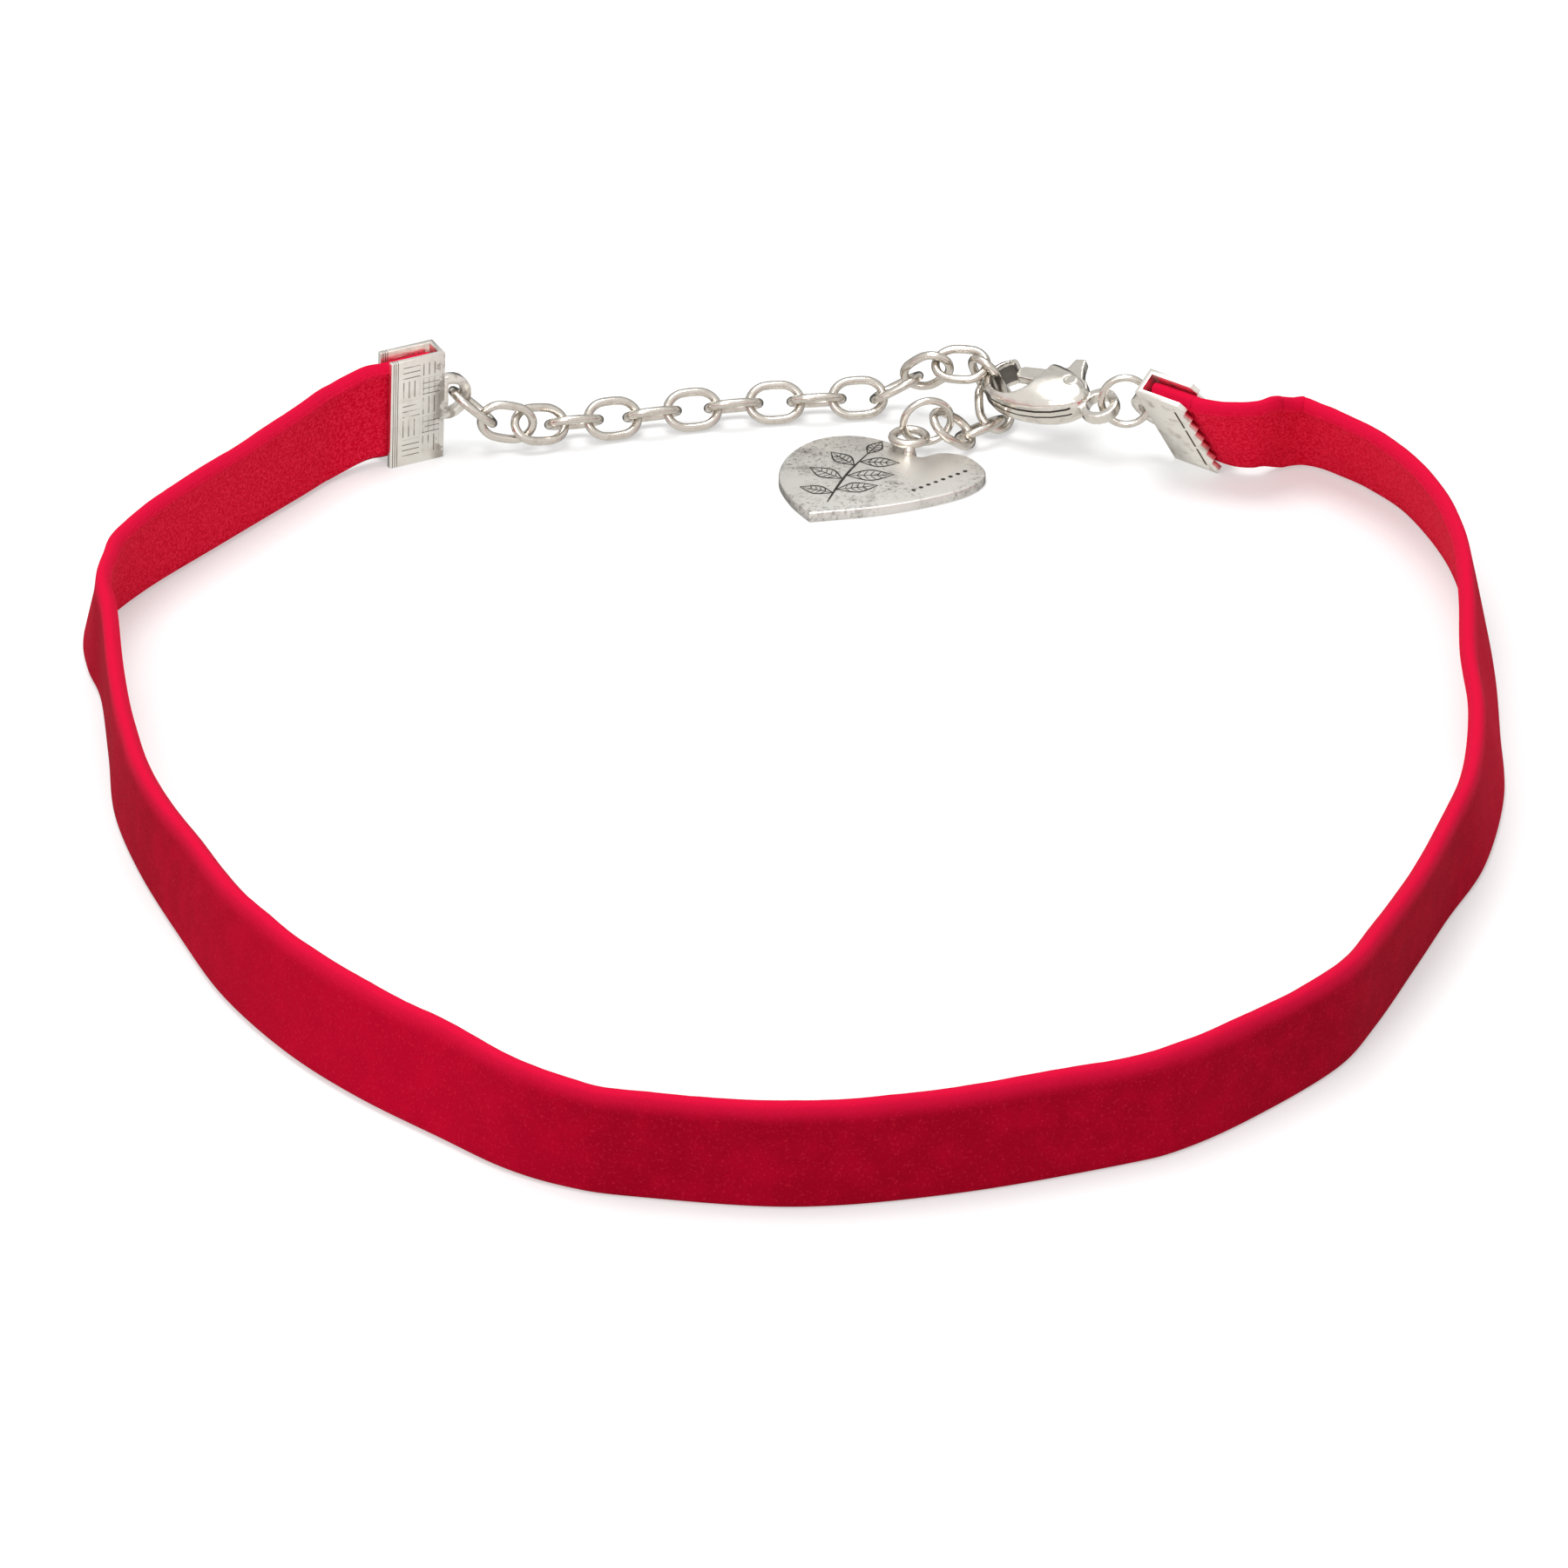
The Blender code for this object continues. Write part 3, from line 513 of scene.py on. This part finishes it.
def sweep(work, outline, stations, closed):
    """Carries a closed outline, given in a station's XY plane, from station to station."""
    ring = [work.verts.new(stations[0] @ Vector((x, y, 0))) for x, y in outline]
    edges = [work.edges.new((a, b)) for a, b in zip(ring, ring[1:] + ring[:1])]
    first = edges
    before = stations[0]
    rings = [ring]
    for station in stations[1:]:
        made = bmesh.ops.extrude_edge_only(work, edges=edges)["geom"]
        fresh = [part for part in made if isinstance(part, bmesh.types.BMVert)]
        edges = [
            part
            for part in made
            if isinstance(part, bmesh.types.BMEdge) and all(v in fresh for v in part.verts)
        ]
        bmesh.ops.transform(work, matrix=station @ before.inverted(), verts=fresh)
        rings.append(fresh)
        before = station
    if closed:
        bmesh.ops.bridge_loops(work, edges=first + edges)
    else:
        bmesh.ops.holes_fill(work, edges=first + edges)
    bmesh.ops.recalc_face_normals(work, faces=work.faces)
    return rings


def round_outline(radius, sides):
    turns = [math.tau * i / sides for i in range(sides)]
    return [(radius * math.cos(t), radius * math.sin(t)) for t in turns]


def station(place, ahead, side):
    """A frame whose Z runs ahead and whose X is side made square to it."""
    z = Vector(ahead).normalized()
    x = Vector(side)
    x = (x - z * x.dot(z)).normalized()
    y = z.cross(x)
    return Matrix.Translation(place) @ Matrix((x, y, z)).transposed().to_4x4()


def mark_hollows(work, reach=5, gain=2.2):
    """Marks the vertices that lie in a hollow, averaged over their neighbours."""
    hollow = work.verts.layers.float.new("hollow")
    work.normal_update()
    depth = {}
    for vert in work.verts:
        near = [edge.other_vert(vert).co - vert.co for edge in vert.link_edges]
        bend = sum(step.normalized().dot(vert.normal) for step in near if step.length)
        depth[vert] = bend / max(len(near), 1)
    for _ in range(reach):
        depth = {
            vert: (depth[vert] + sum(depth[e.other_vert(vert)] for e in vert.link_edges))
            / (1 + len(vert.link_edges))
            for vert in work.verts
        }
    for vert in work.verts:
        vert[hollow] = min(max(depth[vert] * gain, 0.0), 1.0)


def piece(name, work, finish, body, nodes=(), smooth=True):
    """An object made from a bmesh, which rides on a body and may replace nodes."""
    mesh = bpy.data.meshes.new(name)
    work.to_mesh(mesh)
    work.free()
    made = bpy.data.objects.new(name, mesh)
    bpy.context.scene.collection.objects.link(made)
    mesh.materials.append(finish)
    if smooth:
        mesh.shade_smooth()
    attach(made, body)
    if nodes:
        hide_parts(*nodes)
    return made


def node_copy(node):
    """The mesh of a CAD node with its loose triangles joined."""
    work = bmesh.new()
    work.from_mesh(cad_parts[node].data)
    bmesh.ops.remove_doubles(work, verts=work.verts, dist=0.002 * MM)
    return work


def recast(node, voxel, rounds=4):
    """A CAD node's shape with its edges rounded as a casting's are."""
    work = node_copy(node)
    mesh = bpy.data.meshes.new(node + "_cast")
    work.to_mesh(mesh)
    work.free()
    rough = bpy.data.objects.new(node + "_cast", mesh)
    bpy.context.scene.collection.objects.link(rough)
    step = rough.modifiers.new("cast", "REMESH")
    step.mode = "VOXEL"
    step.voxel_size = voxel
    graph = bpy.context.evaluated_depsgraph_get()
    work = bmesh.new()
    work.from_mesh(rough.evaluated_get(graph).data)
    bpy.data.objects.remove(rough, do_unlink=True)
    for _ in range(rounds):
        bmesh.ops.smooth_vert(
            work, verts=work.verts, factor=0.5, use_axis_x=True, use_axis_y=True, use_axis_z=True
        )
    return work


# Ribbon


def ribbon_outline():
    """Section of the ribbon, outside first: soft round pile over a thin woven band."""
    half, deep, roll = RIBBON_WIDTH / 2, RIBBON_THICKNESS / 2, PILE_ROLL_RADIUS
    shares = [-1 + 2 * i / 14 for i in range(15)]
    outside = [(-deep - PILE_CROWN * (1 - t * t), (half - roll) * t) for t in shares]
    turns = [math.radians(turn) for turn in PILE_ROLL_TURNS]
    upper = [(roll * (1 + math.cos(t)) - deep, half - roll * (1 - math.sin(t))) for t in turns]
    upper += [(deep, half - 0.55 * MM), (deep - WEAVE_SETBACK, half - 1.0 * MM)]
    shares = [1 - 2 * (i + 0.5) / 7 for i in range(7)]
    inside = [(deep - WEAVE_SETBACK, (half - 1.4 * MM) * t) for t in shares]
    lower = [(x, -y) for x, y in reversed(upper)]
    return outside + upper + inside + lower


def clamp_inside(name):
    """The level direction from a clamp to the inside of the loop."""
    heading, side = CLAMPS[name][2], CLAMPS[name][4]
    return Vector((-math.sin(math.radians(heading)), math.cos(math.radians(heading)), 0)) * side


def clamp_place(name):
    """A frame at a clamp's mouth in the table's frame: X to the chain, Z up the ribbon."""
    x, y, heading, lean = CLAMPS[name][:4]
    ahead = Vector((math.cos(math.radians(heading)), math.sin(math.radians(heading)), 0))
    up = Vector((0, 0, 1))
    width = up * math.cos(math.radians(lean)) + clamp_inside(name) * math.sin(math.radians(lean))
    lift = 1.25 * MM * math.sin(math.radians(lean)) + 0.02 * MM
    place = Vector((x, y, 0)) * MM + up * lift
    return Matrix.Translation(place) @ Matrix((ahead, width.cross(ahead), width)).transposed().to_4x4()


def held_rows(name):
    """The ribbon in a clamp, from its end to where it bends: foot, lean and height off the floor."""
    place = clamp_place(name)
    ahead, _, width = (Vector(place.col[i][:3]) for i in range(3))
    lean = math.radians(CLAMPS[name][3])
    shift = (RIBBON_WIDTH * math.sin(lean) + RIBBON_THICKNESS * math.cos(lean)) / 2
    height = (RIBBON_WIDTH * math.cos(lean) + RIBBON_THICKNESS * math.sin(lean)) / 2
    middle = place.translation + width * (CLAMP_HEIGHT / 2)
    foot = middle - clamp_inside(name) * shift
    rows = []
    for back in (-CLAMP_GRIP, -CLAMP_GRIP / 3, 0.0, CLAMPS[name][5] * MM):
        spot = foot - ahead * back
        rows.append((spot.x, spot.y, lean, middle.z - height))
    return rows


def bend_rows(name, start):
    """The ribbon's bend to the outside of the loop, after it has left a clamp at start."""
    x, y, lean, lift = start
    away = -Vector(clamp_place(name).col[0][:3])
    outside = -clamp_inside(name)
    rows = []
    for step in range(1, BEND_STEPS + 1):
        share = step / BEND_STEPS
        turn = math.radians(BEND_TURN) * share
        spot = away * math.sin(turn) + outside * (1 - math.cos(turn))
        leaned = lean + (math.radians(BEND_LEAN) - lean) * share
        rows.append((x + spot.x * BEND_RADIUS, y + spot.y * BEND_RADIUS, leaned, lift))
    return rows


def ribbon_rows():
    """The whole ribbon, from the left clamp round the front to the right one."""
    left = held_rows("ribbon_clamp_left")
    right = held_rows("ribbon_clamp_right")
    right += bend_rows("ribbon_clamp_right", right[-1])
    rows = list(left)
    for table, start, side in (
        (LEFT_BACK_SECTIONS, left[-1][0], -HALF_WIDTH),
        (FRONT_SECTIONS, 0.0, HALF_WIDTH),
        (RIGHT_BACK_SECTIONS, right[-1][0], HALF_WIDTH),
    ):
        for across, along, lean in table:
            x = start + across * (side - start)
            rows.append((x, along * HALF_DEPTH, math.radians(lean), 0.0))
    return rows + right[::-1]


def ribbon_stations():
    """The frames that carry the ribbon's section, each with its lean."""
    foot = smooth_through(smooth_through(ribbon_rows(), 5), 3)
    steps = [0.0] + [(b.xy - a.xy).length for a, b in zip(foot, foot[1:])]
    along = np.cumsum(steps)
    across = [place.x for place in foot], [place.y for place in foot]
    made = []
    for here, (x, y, lean, lift) in zip(along, foot):
        # The ribbon is stiff across its width, so away from the clamps it turns over a few mm.
        free = min(here, along[-1] - here) - CLAMP_GRIP
        reach = min(max(free, 0.06 * MM), 3.5 * MM)
        ahead = Vector([
            float(np.interp(here + reach, along, line) - np.interp(here - reach, along, line))
            for line in across
        ] + [0.0]).normalized()
        inside = Vector((-ahead.y, ahead.x, 0))
        facing = inside * math.cos(lean) - Vector((0, 0, math.sin(lean)))
        shift = (RIBBON_WIDTH * math.sin(lean) + RIBBON_THICKNESS * math.cos(lean)) / 2
        height = (RIBBON_WIDTH * math.cos(lean) + RIBBON_THICKNESS * abs(math.sin(lean))) / 2
        place = Vector((x, y, height + max(lift, 0.0))) + inside * shift - TABLE_MIDDLE
        made.append((station(place, ahead, facing), lean))
    return made


def make_ribbon():
    stations = ribbon_stations()
    outline = ribbon_outline()
    work = new_work("height", "back", "turn")
    rings = sweep(work, outline, [place for place, _ in stations], False)
    layers = work.verts.layers.float
    for (place, lean), ring in zip(stations, rings):
        # How far the ribbon leans back; the velvet paints its outside lighter by this share, as a
        # painted highlight.
        turn = min(max(math.degrees(lean) / 22, 0.0), 1.0)
        inverse = place.inverted()
        for vert in ring:
            local = inverse @ vert.co
            vert[layers["height"]] = 0.5 + local.y / RIBBON_WIDTH
            vert[layers["back"]] = 1.0 if local.x > RIBBON_THICKNESS * 0.35 else 0.0
            vert[layers["turn"]] = turn
    # The pile is combed unevenly, so its upper edge is never quite level.
    for ring in rings[4:-4]:
        for vert in ring:
            wave = noise.noise(vert.co * 190) * 0.16 * MM + noise.noise(vert.co * 900) * 0.03 * MM
            if vert.co.z > 0.3 * MM:
                vert.co.z += wave * vert[layers["height"]] ** 3
    piece("velvet_ribbon", work, velvet_finish(), HOLDER, ["ribbon"])


# Chain and rings


def node_axes(node):
    """Middle of a wire node and its long, short and flat directions."""
    points = np.empty(len(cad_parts[node].data.vertices) * 3)
    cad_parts[node].data.vertices.foreach_get("co", points)
    points = np.unique(points.reshape(-1, 3).round(7), axis=0)
    centre = points.mean(0)
    _, axes = np.linalg.eigh(np.cov((points - centre).T))
    flat, wide, long = (Vector(axes[:, i]) for i in range(3))
    local = (points - centre) @ np.array([long, wide, flat]).T
    shift = [float(step) for step in (local.min(0) + local.max(0)) / 2]
    middle = Vector(centre) + long * shift[0] + wide * shift[1] + flat * shift[2]
    return middle, long, wide, flat


def make_wire(name, node, straight, radius, thick, finish, count=44):
    """A closed wire in the place of a CAD link or ring, between a long round and an oval."""
    middle, long, wide, flat = node_axes(node)
    places = []
    for i in range(count):
        turn = math.tau * i / count
        across, ahead = math.cos(turn), math.sin(turn)
        side = math.copysign(min(abs(across) * 4, 1), across)
        reach = 0.62 * (side * straight + across * radius) + 0.38 * across * (straight + radius)
        places.append(middle + long * reach + wide * (ahead * radius))
    stations = []
    for i, place in enumerate(places):
        stations.append(station(place, places[(i + 1) % count] - places[i - 1], flat))
    work = new_work()
    sweep(work, round_outline(thick, WIRE_SIDES), stations, True)
    piece(name, work, finish, HOLDER, [node])


def make_chain():
    wire = silver_finish("silver wire", gloss=0.13, tarnish=0.4, grain=1300)
    straight = LINK_HALF_LENGTH - LINK_HALF_WIDTH
    for number in range(1, LINKS + 1):
        node = f"chain_link_{number:02d}"
        make_wire(f"link_{number:02d}", node, straight, LINK_HALF_WIDTH, LINK_WIRE_RADIUS, wire)
    for node in ("heart_jump_ring", "clasp_jump_ring"):
        make_wire(node + "_wire", node, 0.0, RING_RADIUS, RING_WIRE_RADIUS, wire)


# Heart


def make_heart():
    """The heart's flat plate, its outline raised to its thickness and its rims eased."""
    rows = [(across * HEART_SPAN, along * HEART_SPAN, 0.0) for across, along in HEART_OUTLINE]
    line = smooth_through([rows[0]] + rows + [rows[0]], 8)[8:-1]
    middle = HEART_MIDDLE - TABLE_MIDDLE
    work = new_work()
    verts = [work.verts.new(middle + p) for p in line]
    face = work.faces.new(verts)
    if face.normal.z < 0:
        face.normal_flip()
    made = bmesh.ops.extrude_face_region(work, geom=[face])["geom"]
    top = [part for part in made if isinstance(part, bmesh.types.BMVert)]
    bmesh.ops.translate(work, verts=top, vec=(0, 0, HEART_THICKNESS))
    bmesh.ops.recalc_face_normals(work, faces=work.faces)
    flat = [f for f in work.faces if abs(f.normal.z) > 0.9]
    rim = [e for f in flat for e in f.edges]
    bmesh.ops.bevel(
        work, geom=rim, offset=HEART_RIM_BEVEL, offset_type="OFFSET", segments=3, profile=0.5,
        affect="EDGES", material=-1,
    )
    made = piece("heart_plate", work, heart_finish(), HOLDER, ["heart_charm"])
    made.data.set_sharp_from_angle(angle=math.radians(35))


def make_sprig():
    """A plain sprig of hatched leaves cut into the heart's face, and a row of dots, filled dark."""
    dark = Finish("filled engraving", (0.05, 0.045, 0.04), 0.55, 0.6)
    worn = dark.noise(2600, detail=3.0)
    tone = dark.blend(worn.over(0.5, 0.7), (0.03, 0.026, 0.022), (0.13, 0.115, 0.10))
    dark.finish(base_color=tone)
    middle = HEART_MIDDLE - TABLE_MIDDLE + Vector((0, 0, HEART_THICKNESS))
    work = bmesh.new()

    def cut(points, width):
        line = smooth_through([(x * MM, y * MM, 0.0) for x, y in points], 6)
        placed = []
        for index, place in enumerate(line):
            ahead = line[min(index + 1, len(line) - 1)] - line[max(index - 1, 0)]
            share = math.sin(math.pi * (0.15 + 0.7 * index / (len(line) - 1)))
            turned = station(middle + place, ahead, (0, 0, 1))
            placed.append(turned @ Matrix.Diagonal((1, share, 1, 1)))
        low, high, half = -0.03 * MM, 0.012 * MM, width / 2
        sweep(work, [(high, half), (high, -half), (low, -half), (low, half)], placed, False)

    cut(SPRIG_STEM, CUT_WIDTHS["stem"])
    for x, y, turn, length in SPRIG_LEAVES:
        ahead = Vector((math.cos(math.radians(turn)), math.sin(math.radians(turn))))
        side = Vector((-ahead.y, ahead.x))
        foot = Vector((x, y))
        tip = foot + ahead * length
        for bend in (LEAF_FULLNESS, -LEAF_FULLNESS):
            cut([foot, foot + (ahead * 0.5 + side * bend) * length, tip], CUT_WIDTHS["edge"])
            for share in HATCH_SHARES:
                start = foot + ahead * length * share
                room = bend * length * (1 - (2 * share + 0.2 - 1) ** 2) * 0.8
                cut([start, start + ahead * length * 0.1 + side * room], CUT_WIDTHS["hatch"])
        cut([foot, foot + ahead * length * 0.9], CUT_WIDTHS["rib"])
    for i in range(DOTS):
        bmesh.ops.create_cone(
            work, cap_ends=True, segments=12, radius1=DOT_RADIUS, radius2=DOT_RADIUS,
            depth=0.024 * MM, matrix=Matrix.Translation(middle + (FIRST_DOT + DOT_STEP * i) * MM),
        )
    piece("heart_sprig", work, dark.material, HOLDER, smooth=False)


def make_eyelet():
    """The heart's eyelet and the little foot that it is soldered on."""
    finish = silver_finish("soldered silver", gloss=0.24, tarnish=0.5, grain=900)
    middle = EYELET_MIDDLE - TABLE_MIDDLE
    work = new_work()
    stations = []
    for i in range(36):
        turn = math.tau * i / 36
        out = Vector((math.cos(turn), math.sin(turn), 0))
        stations.append(station(middle + out * EYELET_RADIUS, (-out.y, out.x, 0), out))
    sweep(work, round_outline(EYELET_WIRE_RADIUS, WIRE_SIDES), stations, True)
    foot = middle + Vector((0, -EYELET_RADIUS, -0.6 * MM))
    bmesh.ops.create_cone(
        work, cap_ends=True, segments=20, radius1=0.62 * MM, radius2=0.4 * MM, depth=1.1 * MM,
        matrix=Matrix.Translation(foot),
    )
    piece("heart_eyelet", work, finish, HOLDER)


# Clamps and clasp


def make_clamps():
    for name, woven in (("ribbon_clamp_left", True), ("ribbon_clamp_right", False)):
        work = node_copy(name)
        bmesh.ops.dissolve_limit(
            work, angle_limit=math.radians(1), verts=work.verts, edges=work.edges
        )
        sharp = [e for e in work.edges if len(e.link_faces) == 2 and e.calc_face_angle() > 0.6]
        bmesh.ops.bevel(
            work, geom=sharp, offset=CLAMP_EDGE_BEVEL, offset_type="OFFSET", segments=2, profile=0.5,
            affect="EDGES", material=-1, clamp_overlap=True,
        )
        work.verts.layers.float.new("hollow")
        turned = Matrix.Translation(-TABLE_MIDDLE) @ clamp_place(name)
        finish = clamp_finish(name + " plate", turned, woven)
        made = piece(name + "_plate", work, finish, HOLDER, [name])
        made.data.set_sharp_from_angle(angle=math.radians(35))


def clasp_place():
    """A frame at the clasp's eye: X to its nose, Y to its gate."""
    x = (CLASP_NOSE - CLASP_EYE).normalized()
    z = x.cross(CLASP_GATE_SIDE).normalized()
    turned = Matrix((x, z.cross(x), z)).transposed().to_4x4()
    return Matrix.Translation(CLASP_EYE - TABLE_MIDDLE) @ turned


def swell(work, place):
    """Domes the casting's two faces, most of all over its round shoulder, and trims its back."""
    inverse = place.inverted()
    for vert in work.verts:
        local = inverse @ vert.co
        x = (local.x - SHOULDER_MIDDLE) / SHOULDER_HALF_LENGTH
        y = local.y / SHOULDER_HALF_WIDTH
        local.z *= 1 + SHOULDER_SWELL * max(1 - x * x, 0.0) * max(1 - y * y, 0.0)
        if local.y < 0:
            local.y *= 0.9
        vert.co = place @ local


def paint_slot_shade(work, place):
    """Marks the slot that the lever lies in, between lever and body, as a hollow, so it gets painted
    shade.
    """
    inverse = place.inverted()
    hollow = work.verts.layers.float["hollow"]
    for vert in work.verts:
        x, y, z = inverse @ vert.co
        if 5.4 * MM < x < 10.3 * MM and abs(y) < 1.95 * MM and abs(z) < 0.95 * MM:
            vert[hollow] = 0.8


def make_clasp():
    place = clasp_place()
    shell = clasp_finish(place)
    for node, body, voxel in (
        ("clasp_body", HOLDER, 0.085 * MM),
        ("clasp_lever", "clasp_lever", 0.07 * MM),
        ("clasp_rivet", HOLDER, 0.05 * MM),
    ):
        work = recast(node, voxel)
        if node == "clasp_body":
            swell(work, place)
        mark_hollows(work)
        if node == "clasp_body":
            paint_slot_shade(work, place)
        piece(node + "_cast", work, shell, body, [node])


# Studio


def make_studio():
    work = bmesh.new()
    bmesh.ops.create_grid(work, x_segments=2, y_segments=2, size=3.0)
    mesh = bpy.data.meshes.new("floor")
    work.to_mesh(mesh)
    work.free()
    floor = bpy.data.objects.new("floor", mesh)
    bpy.context.scene.collection.objects.link(floor)
    white = Finish(
        "white table", (0.5, 0.5, 0.5), 0.9,
        uniform={
            "Specular IOR Level": 0.0,
            "Emission Color": (1.0, 1.0, 1.0, 1.0),
            "Emission Strength": 0.42,
        },
    )
    mesh.materials.append(white.material)
    # What the metal mirrors comes from the studio's own light and dark, as cards would give it.
    floor.visible_glossy = False

    world = bpy.data.worlds.new("studio")
    bpy.context.scene.world = world
    world.use_nodes = True
    room = Tree(world.node_tree, "Background")
    room.set(room.shader, "Strength", 1.0)
    # Dark cards stand low behind the piece, so the wires' outlines are dark and their faces light.
    way = room.node("ShaderNodeTexCoord", output="Generated")
    facing = room.node(
        "ShaderNodeVectorMath", {"operation": "DOT_PRODUCT"}, {0: way, 1: CARD_DIRECTION}, "Value"
    )
    share = room.node("ShaderNodeMapRange", values={"Value": facing, "From Min": -1.0})
    stops = [(place, (grey, grey * 0.985, grey * 0.96)) for place, grey in CARDS]
    cards = room.node("ShaderNodeValToRGB", {"stops": stops}, {0: share})
    # Straight down, the metal sees the white table.
    down = room.node(
        "ShaderNodeMapRange",
        values={"Value": room.parts(way)[2], "From Min": -0.62, "From Max": -0.78},
    )
    seen = room.blend(down, cards, (0.80, 0.78, 0.74))
    mirrored = room.node("ShaderNodeLightPath", output="Is Glossy Ray")
    room.set(room.shader, "Color", room.blend(mirrored, (0.62, 0.62, 0.62), seen))

    for name, place, size, power in LAMPS:
        data = bpy.data.lights.new(name, "AREA")
        data.size = size
        data.energy = power
        lamp = bpy.data.objects.new(name, data)
        lamp.location = place
        lamp.rotation_euler = (-Vector(place)).to_track_quat("-Z", "Y").to_euler()
        bpy.context.scene.collection.objects.link(lamp)


def make_camera():
    """The photograph's view: straight on to the ribbon's front, from above."""
    data = bpy.data.cameras.new("camera")
    data.sensor_width = VIEW_SENSOR
    data.lens = VIEW_LENS
    data.clip_start = 0.05
    camera = bpy.data.objects.new("camera", data)
    tilt = math.radians(VIEW_ELEVATION)
    camera.location = VIEW_AIM + Vector((0, -math.cos(tilt), math.sin(tilt))) * VIEW_DISTANCE
    camera.rotation_euler = (math.pi / 2 - tilt, 0, 0)
    bpy.context.scene.collection.objects.link(camera)
    bpy.context.scene.camera = camera


make_camera()
make_ribbon()
make_chain()
make_heart()
make_sprig()
make_eyelet()
make_clamps()
make_clasp()
make_studio()
bpy.context.scene.view_settings.view_transform = "Standard"
